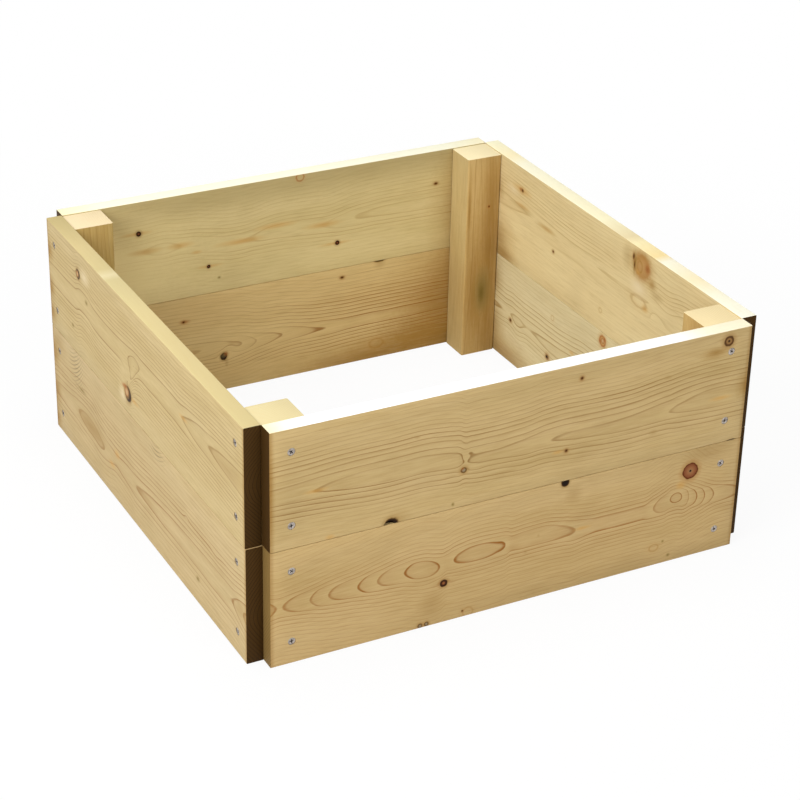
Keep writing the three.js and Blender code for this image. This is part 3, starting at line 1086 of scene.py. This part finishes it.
FIGURES["left_lower_board"] = Figure(
    wood=colour(199, 177, 133), shade=colour(188, 166, 121), line=colour(142, 100, 50), up=57, ring=4.6,
    across=even_rings([(6, 0.12), (12, 0.5), (16, 1), (20, 1.5), (27, 2.5)], 5.6),
    rings=[
        (0, 0.75), (40, 0.45), (70, 0.15), (84, 0), (105, -0.3), (130, -0.42), (155, -0.3), (177, 0),
        (196, 0.4), (215, 0.68), (240, 0.45), (262, 0.2), (278, 0), (300, -0.15), (340, -0.38),
        (400, -0.6), (500, -0.9), (563, -1.02), (580, -1.5), (592, -2), (601, -2.2),
    ],
    drift=[
        (0, 2), (60, 3), (84, 5), (130, 4), (177, -3), (215, 0), (250, -1), (278, -3), (330, 0), (460, 3),
        (563, 3), (601, 1),
    ],
    weight=[
        (-160, 0.2), (-34, 0.35), (-22, 0.8), (-10, 1), (22, 1), (44, 0.85), (56, 0.4), (160, 0.25),
    ],
    knots=[
        Knot(467, 32.5, 2.8, "olive", 1.4), Knot(102, 98.5, 1.5, "olive", 7),
        Knot(219, 67, 4.5, "streak", 1.6), Knot(200, 44, 3.5, "streak", 2.4),
        Knot(20, 130, 12, "smudge", 1.5), Knot(588, 60, 8, "smudge", 1.4),
        Knot(130, 61, 8.5, "smudge", 3.6), Knot(130, 60, 9, "smudge", 4.4),
        Knot(306, 56, 3.6, "smudge", 7), Knot(4, 110, 16, "stain_and_shade", 0.8), Knot(4, 55, 16, "stain_and_shade", 0.8),
        Knot(4, 15, 12, "stain_and_shade", 0.8),
    ],
    ripples=[Ripple(86, 122, 22, 20, 0.62), Ripple(350, 136, 18, 9, 0.12)],
    eyes=[Eye(95, 98, 30, 8, 0.9), Eye(437, 98, 8, 5, -0.6), Eye(520, 92, 16, 6, 0.5)],
    fades=[Eye(380, 70, 130, 6, 0.7), Eye(500, 94, 120, 7, 0.6), Eye(300, 46, 300, 6, 0.3)],
    seed=4,
)
print("left boards described")

# %% Back boards
FIGURES["back_upper_board"] = Figure(
    wood=colour(215, 197, 143), shade=colour(205, 187, 131), line=colour(164, 124, 60), up=217, ring=4.1,
    across=even_rings([(5, 0.1), (8, 0.35), (11, 0.8), (13, 1.15), (18, 2.15)], 5.4),
    rings=[
        (0, 3.4), (60, 3.15), (92, 3.02), (104, 2.98), (113, 2.88), (132, 2.6), (150, 2.88), (158, 2.98),
        (168, 3.02), (190, 3.1), (225, 3), (258, 2.9), (275, 2.55), (300, 2.25), (330, 2.06), (345, 2),
        (366, 1.88), (385, 1.4), (404, 1), (425, 0.85), (450, 0.7), (545, 0.5), (600, 0.4),
    ],
    drift=[
        (0, 0), (100, 3), (132, 3), (160, 2), (178, 1), (200, -3), (235, -7), (260, -5), (300, -2),
        (345, -4), (366, -5), (404, -2), (450, 0), (545, 0), (600, 1),
    ],
    weight=[
        (-160, 0.15), (-34, 0.2), (-24, 0.4), (-14, 0.8), (-6, 0.5), (6, 0.5), (14, 0.8), (26, 0.4),
        (44, 0.35), (60, 0.18), (160, 0.2),
    ],
    knots=[
        # The stain at the right end is browner wood and painted shade in the corner by the back right post
        Knot(578, 200, 70, "stain_and_shade", 0.56), Knot(300, 290, 23, "grey", 18),
        # The light patch near the left end is painted light where the left wall shades this board
        Knot(60, 190, 56, "painted_light", 1.6), Knot(325, 286, 6, "loop", 1, 1.2),
        Knot(96, 247, 2.4, "streak", 7), Knot(100, 246.7, 3.3, "dark", 1, 1.8),
        Knot(196, 184, 1.8, "streak", 8), Knot(194.5, 183.8, 2.4, "dark", 1, 1.5),
        Knot(376, 183, 2, "streak", 9), Knot(379.5, 183.3, 3.1, "dark", 1, 1.5),
        Knot(526, 243, 1.9, "pin", 1.6), Knot(209, 165.5, 1.6, "olive", 1.2),
        Knot(108, 220.5, 3.6, "streak", 5), Knot(156, 220.5, 3.6, "streak", 4),
        Knot(240, 211, 3.4, "streak", 8), Knot(358, 213, 3.6, "streak", 6),
        Knot(290, 224, 3.4, "streak", 7), Knot(178, 207, 2, "streak", 3),
    ],
    eyes=[Eye(178, 207, 9, 4, -0.5)],
    seed=5,
)
FIGURES["back_lower_board"] = Figure(
    wood=colour(213, 188, 131), shade=colour(202, 174, 117), line=colour(142, 94, 40), up=62, ring=4.3,
    across=spread_rings(
        [(5, 0.2), (9, 0.6), (14, 1.6), (19, 2.6)],
        [(5, 0.2), (9, 0.6), (15, 1.6), (20, 2.6)], 5.2,
    ),
    rings=[
        (0, -0.9), (120, -0.4), (200, 0.2), (228, 0.7), (241, 1), (262, 2), (300, 3), (346, 3.86),
        (364, 4), (376, 4.14), (400, 4.35), (450, 4.4), (520, 4.45), (600, 4.6),
    ],
    drift=[(0, 4), (200, 2), (262, 1), (300, 2), (364, -1), (450, 0), (520, 0), (600, -1)],
    weight=[
        (-160, 0.15), (-40, 0.2), (-28, 0.85), (-10, 1), (10, 1), (40, 1), (50, 0.6), (70, 0.4),
        (90, 0.2), (160, 0.15),
    ],
    knots=[
        # Darker and browner toward the right end and the bottom: browner wood, and painted shade in the
        # corner by the back right post
        Knot(545, 70, 62, "stain_and_shade", 1), Knot(570, 20, 44, "stain_and_shade", 1.6), Knot(500, 20, 22, "stain_and_shade", 3),
        Knot(430, 6, 20, "stain_and_shade", 5), Knot(575, 120, 36, "stain_and_shade", 1),
        Knot(217.5, 40, 5, "smudge", 0.4), Knot(213.5, 49.5, 5, "hollow", 0.9, 2.4),
        Knot(213, 50.5, 2.6, "grey"), Knot(217, 53, 3, "rust"), Knot(387, 131, 2, "pin", 1.5),
        Knot(159, 111, 2.6, "rust", 2.4), Knot(157.5, 111, 1.6, "pin", 1.4),
        Knot(443, 146, 2.2, "hollow", 3.6), Knot(443, 141, 6, "smudge", 1),
        Knot(440, 22, 7.5, "faint", 1.6),
    ],
    eyes=[Eye(219, 58, 10, 8, 0.7)],
    fades=[Eye(480, 64, 130, 40, 0.95), Eye(210, 90, 110, 46, -0.55), Eye(352, 61, 16, 6, 0.3)],
    seed=6,
)
print("back boards described")

# %% Right boards
FIGURES["right_upper_board"] = Figure(
    wood=colour(225, 206, 156), shade=colour(216, 194, 143), line=colour(166, 132, 72), up=230, ring=4.5,
    across=spread_rings(
        [(5, 0.2), (12, 0.6), (22, 1.2), (30, 2.2)],
        [(4, 0.25), (8, 0.55), (12, 1), (17, 2)], 5,
    ),
    rings=[
        (0, 0.2), (45, 0.4), (85, 0.6), (120, 0.95), (135, 1), (150, 1.04), (190, 1.15), (240, 1.25),
        (290, 1), (330, 0.9), (370, 0.85), (420, 0.9), (480, 1), (600, 1.4),
    ],
    drift=[(0, 0), (60, 2), (135, 1), (200, -2), (300, -3), (400, -2), (480, 0), (600, 2)],
    weight=[
        (-160, 0.12), (-60, 0.15), (-30, 0.15), (-14, 0.35), (-6, 0.75), (6, 0.8), (12, 0.9), (26, 0.85),
        (44, 0.4), (160, 0.25),
    ],
    knots=[
        # The stains at the left end are browner wood and painted shade in the corner by the back right post
        Knot(34, 170, 28, "stain_and_shade", 1.3), Knot(36, 240, 14, "stain_and_shade", 0.9), Knot(60, 150, 9, "stain_and_shade", 3),
        Knot(80, 252, 6, "bright", 2.4), Knot(385, 242, 9, "bright", 1.4),
        Knot(102, 259, 4.6, "streak", 4), Knot(99, 259, 3, "rust", 1.4),
        Knot(103.5, 259, 2.2, "pin", 1, 2), Knot(187.5, 205.5, 1.9, "pin", 1.2),
        Knot(168, 229.5, 2.6, "streak", 6), Knot(168, 229.5, 2.6, "smudge", 7),
        Knot(104, 237, 2.4, "streak", 6), Knot(106, 235, 2.8, "smudge", 7),
        Knot(390, 221, 8, "faint", 2.3), Knot(405, 217, 4, "streak", 1.4),
        Knot(388, 238, 11, "bright", 1.6), Knot(360, 270, 12, "smudge", 0.7),
        Knot(392, 268.5, 17, "soft", 1.12, 1.6), Knot(404, 270, 6.4, "rust", 0.9),
        Knot(384, 266, 11, "faint", 0.8), Knot(388, 267, 8, "faint", 0.8),
        Knot(384, 258, 3, "streak", 1.4), Knot(395, 281, 4, "stain_and_shade", 2.6),
        Knot(376, 268, 11, "olive", 0.26), Knot(373, 275, 4.2, "pin", 0.5),
        Knot(376, 265, 5, "pin", 0.22), Knot(416, 254, 6, "stain_and_shade", 1.3),
        Knot(428, 243, 4, "smudge", 2.4), Knot(307, 173, 3.6, "faint", 1),
    ],
    eyes=[Eye(430, 216, 14, 9, 0.7, -0.5), Eye(452, 248, 24, 22, 1.3)],
    fades=[Eye(346, 246, 36, 32, -0.75), Eye(385, 240, 26, 12, -0.8)],
    seed=7,
)
FIGURES["right_lower_board"] = Figure(
    wood=colour(213, 199, 157), shade=colour(204, 188, 144), line=colour(148, 116, 58), up=70, ring=3.9,
    across=spread_rings(
        [(4, 0.12), (8, 0.4), (14, 1.3), (20, 2.3)],
        [(4, 0.12), (8, 0.4), (15, 1.3), (22, 2.3)], 6,
    ),
    rings=[
        (0, 0.7), (45, 0.85), (66, 1), (76, 1.12), (86, 1), (108, 0.66), (126, 0.94), (136, 0.985),
        (146, 0.95), (165, 0.8), (200, 0.6), (320, 0.5), (600, 0.2),
    ],
    drift=[(0, 1), (66, 1), (86, 2), (108, -1), (136, 1), (200, -1), (240, 2), (280, 6), (600, 6)],
    weight=[
        (-160, 0.15), (-30, 0.25), (-22, 0.8), (-8, 1), (10, 1), (36, 0.85), (42, 0.35), (160, 0.2),
    ],
    knots=[
        # The stains at the left end and the bottom are browner wood and painted shade in the corner by the
        # back right post
        Knot(60, 6, 22, "stain_and_shade", 4), Knot(36, 40, 26, "stain_and_shade", 0.9), Knot(36, 110, 26, "stain_and_shade", 0.7),
        Knot(317, 134, 7.4, "soft", 1, 1.5), Knot(317, 134, 7.6, "loop"),
        Knot(317.5, 134.5, 3.6, "beige"), Knot(311.5, 132, 3, "rust"), Knot(322, 138, 3, "rust"),
        Knot(88, 63, 2.6, "pin", 1.2), Knot(187, 52, 3.6, "pin", 1.1), Knot(186, 52, 1.8, "hollow", 1.2),
        Knot(52, 71, 2.2, "smudge", 6), Knot(195, 113, 4, "faint", 1),
        Knot(247, 85, 2.4, "streak", 2.4),
    ],
    seed=8,
)
print("right boards described")

# %% [markdown]
# ## The timber gets its finish
# The same finish serves all twelve pieces of timber. A piece's own space is found with one turn and one move,
# so that its pattern runs along the grain wherever the piece stands.

# %% Pine on the boards
half = length / 2 / MM
outside, inside = outer_face / MM, length / 2 / MM
PIECE_SPACES = {
    "front": ((0, 0, 0), (half, outside, 0)),
    "back": ((0, 0, 0), (half, -inside, 0)),
    "left": ((0, 0, pi / 2), (half, outside, 0)),
    "right": ((0, 0, pi / 2), (half, -inside, 0)),
}
# The first pair is dark treated end grain with painted shade added, darkest like the notch at the near
# corner; the second pair, for the front lower board, is the lighter end grain
SAWN_DARK_AND_SHADED = (colour(66, 44, 14), colour(38, 24, 6))
SAWN_LIGHT = (colour(130, 104, 58), colour(88, 64, 30))
# Most of these tones are pale planed wood with a painted highlight: nearly white on the front, back and right
# tops, and yellower on the left, where the highlight is weakest
EDGES = {  # tones of the planed top edges, by the distance from a board's left end
    "front": [
        (0, 240, 226, 184), (40, 250, 250, 246), (500, 250, 250, 246), (545, 248, 240, 212),
        (600, 246, 236, 204),
    ],
    "back": [
        (0, 238, 228, 186), (50, 240, 235, 209), (540, 240, 237, 213), (600, 240, 231, 194),
    ],
    "left": [
        (0, 190, 172, 120), (100, 207, 188, 136), (172, 203, 186, 135), (190, 216, 202, 159),
        (204, 202, 187, 138), (300, 207, 190, 139), (420, 203, 185, 135), (600, 199, 182, 132),
    ],
    "right": [
        (0, 239, 234, 199), (58, 239, 226, 184), (90, 237, 232, 205), (290, 233, 225, 188),
        (350, 216, 200, 158), (370, 231, 217, 170), (415, 228, 206, 150), (432, 231, 226, 203),
        (490, 231, 218, 180), (540, 231, 227, 203), (600, 231, 228, 209),
    ],
}
for node, piece in boards.items():
    side = node.split("_")[0]
    turn, start = PIECE_SPACES[side]
    low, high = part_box(node)
    reach = max(high.x - low.x, high.y - low.y) / MM
    top = wall_height / MM if "upper" in node else None
    end = SAWN_LIGHT if node == "front_lower_board" else SAWN_DARK_AND_SHADED
    finish = pine(node + "_pine", FIGURES[node], turn, start, reach, top, EDGES[side], end)
    coat(piece, finish)
print(len(boards), "boards finished")

# %% Pine on the posts
UPRIGHT = (0, pi / 2, 0)
POST_TONES = {  # the wood, its shade, and the sawn top
    "front_left_post": (colour(206, 182, 128), colour(186, 150, 92), colour(214, 200, 154)),
    "front_right_post": (colour(206, 175, 112), colour(184, 148, 90), colour(230, 211, 164)),
    "back_right_post": (colour(202, 182, 128), colour(190, 164, 110), colour(234, 220, 178)),
    "back_left_post": (colour(193, 167, 100), colour(182, 148, 88), colour(228, 209, 170)),
}
BROWN_FACE = colour(199, 167, 108)  # the back right post's front
POST_TOP_LINE = colour(208, 180, 124)
POST_KNOTS = {"back_right_post": [
    Knot(144, -12, 13, "stain_and_shade", 16.0), Knot(92, 10, 15, "stain_and_shade", 5.2), Knot(212, 21, 2.4, "stain_and_shade", 18.0),
    Knot(217, -9, 2.2, "rust", 1.2), Knot(217, -9, 1.2, "pin"), Knot(94, -3, 9, "olive", 2.6),
    Knot(97, -4, 7, "grey", 3.2), Knot(90, -2, 5, "olive", 3.2),
]}
for node, piece in posts.items():
    wood, shade, sawn_top = POST_TONES[node]
    low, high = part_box(node)
    figure = Figure(
        wood=wood, shade=shade, line=colour(142, 100, 46), up=8, ring=3.1,
        across=even_rings([(10, 0.8), (20, 2.6)], 4.0),
        rings=[(0, 1.0), (120, 1.3), (288, 1.8)], drift=[(0, 3), (150, -2), (288, 2)],
        weight=[(-160, 0.42), (160, 0.42)], knots=POST_KNOTS.get(node, ()), seed=20.0 + POSTS.index(node),
        face=BROWN_FACE if node == "back_right_post" else None,
    )
    middle = (low + high) / 2 / MM
    start = (0, post_size.y / 2 / MM - middle.y, middle.x)
    top_tones = (sawn_top, POST_TOP_LINE)
    finish = pine(node + "_pine", figure, UPRIGHT, start, post_size.z / MM, None, None, top_tones, 0.0)
    coat(piece, finish)
print(len(posts), "posts finished")

# %% [markdown]
# ## Bright zinc on the screws
# Zinc plating is a thin, slightly milky metal with a cloudy crystal pattern. Little light gets into the
# recess, so its faces get a much darker zinc of their own, which is painted shade.

# %% Zinc
def zinc_finish(name, dull, clear):
    material, tree, surface = new_finish(name)
    place = Wire.node(tree, "ShaderNodeTexCoord", output=3)
    clouds = noise(place.scaled(1 / MM), (3.0, 3.0, 3.0), 9.0, detail=3.0)
    tone = mixed(clouds.ranged(-0.45, 0.45), dull, clear)
    inputs = {"Strength": 0.2, "Distance": 0.05 * MM, "Height": clouds}
    bump = Wire.node(tree, "ShaderNodeBump", None, inputs)
    feed(surface, base_color=tone, metallic=1.0, roughness=0.36 + clouds * 0.06, normal=bump)
    return material


zinc = zinc_finish("bright_zinc", colour(112, 102, 94), colour(208, 199, 190))
# The recess zinc is painted shade: the same kind of zinc, made far darker
recess_shade_zinc = zinc_finish("recess_shade_zinc", colour(36, 28, 26), colour(58, 48, 46))
for piece in screws.values():
    coat(piece, zinc, recess_shade_zinc)
    # The recess faces take the painted-shade zinc
    for index in recess_faces:
        piece.data.polygons[index].material_index = 1
print("screws finished")

# %% [markdown]
# ## Studio
# The bed stands on a white floor under soft light, with a white surround. A large lamp high above lights the
# top edges, whose near-white is partly a highlight painted into their colour. A second one at the left lights
# the side walls evenly, helped by painted light on the back board where the left wall shades it, and the
# world fills the rest. To the camera the floor is nearly all glow, so that it stays white, with a little real
# light mixed in near the bed, which keeps the bed's soft shadow.

# %% Floor, lamps and world
FLOOR_SIZE = 30.0
FLOOR_DROP = 0.0005
FLOOR_WHITE = 0.80
NEAR_GLOW = 0.92
WORLD_LIGHT = 0.36
LAMP_TARGET = Vector((0, 0, 0.15))


def seen_directly(tree):
    """1 for rays from the camera, from glossy reflections and through glass."""
    rays = Wire.node(tree, "ShaderNodeLightPath")
    seen = rays.math("MAXIMUM", rays.other("Is Glossy Ray"))
    return seen.math("MAXIMUM", rays.other("Is Transmission Ray"))


bpy.ops.object.select_all(action="DESELECT")
bpy.ops.mesh.primitive_plane_add(size=FLOOR_SIZE, location=(0, 0, -FLOOR_DROP))
floor = bpy.context.object
floor.name = "floor"
paper, tree, surface = new_finish("white_paper")
surface.inputs["Base Color"].default_value = (FLOOR_WHITE, FLOOR_WHITE, FLOOR_WHITE, 1)
surface.inputs["Roughness"].default_value = 1.0
surface.inputs["Specular IOR Level"].default_value = 0.0
glow = Wire.node(tree, "ShaderNodeEmission", None, {"Strength": 1.0})
place = Wire.node(tree, "ShaderNodeTexCoord", output=3)
share = place.vector("LENGTH", (0, 0, 0), "Value").ranged(0.5, 1.3, NEAR_GLOW, 1.0, smooth=True)
blend = Wire.node(tree, "ShaderNodeMixShader", None, {
    0: seen_directly(tree) * share, 1: Wire(tree, surface.outputs[0]), 2: glow,
})
tree.links.new(blend.socket, tree.nodes["Material Output"].inputs[0])
floor.data.materials.append(paper)

world = bpy.data.worlds.new("white surround")
bpy.context.scene.world = world
world.use_nodes = True
sky = world.node_tree.nodes["Background"]
sky.inputs["Color"].default_value = (1, 1, 1, 1)
strength = seen_directly(world.node_tree) * (1.0 - WORLD_LIGHT) + WORLD_LIGHT
world.node_tree.links.new(strength.socket, sky.inputs["Strength"])


def soft_lamp(name, place, size, power):
    """A square lamp that looks at the bed."""
    lamp = bpy.data.lights.new(name, "AREA")
    lamp.shape = "SQUARE"
    lamp.size = size
    lamp.energy = power
    holder = bpy.data.objects.new(name, lamp)
    holder.location = place
    holder.rotation_euler = (LAMP_TARGET - Vector(place)).to_track_quat("-Z", "Y").to_euler()
    bpy.context.scene.collection.objects.link(holder)


soft_lamp("top lamp", (-0.3, 0.2, 3.6), 2.4, 62)
soft_lamp("left lamp", (-3.6, -1.5, 2.8), 2.6, 150)
soft_lamp("front lamp", (0.8, -3.7, 2.4), 2.6, 42)
print("studio ready")
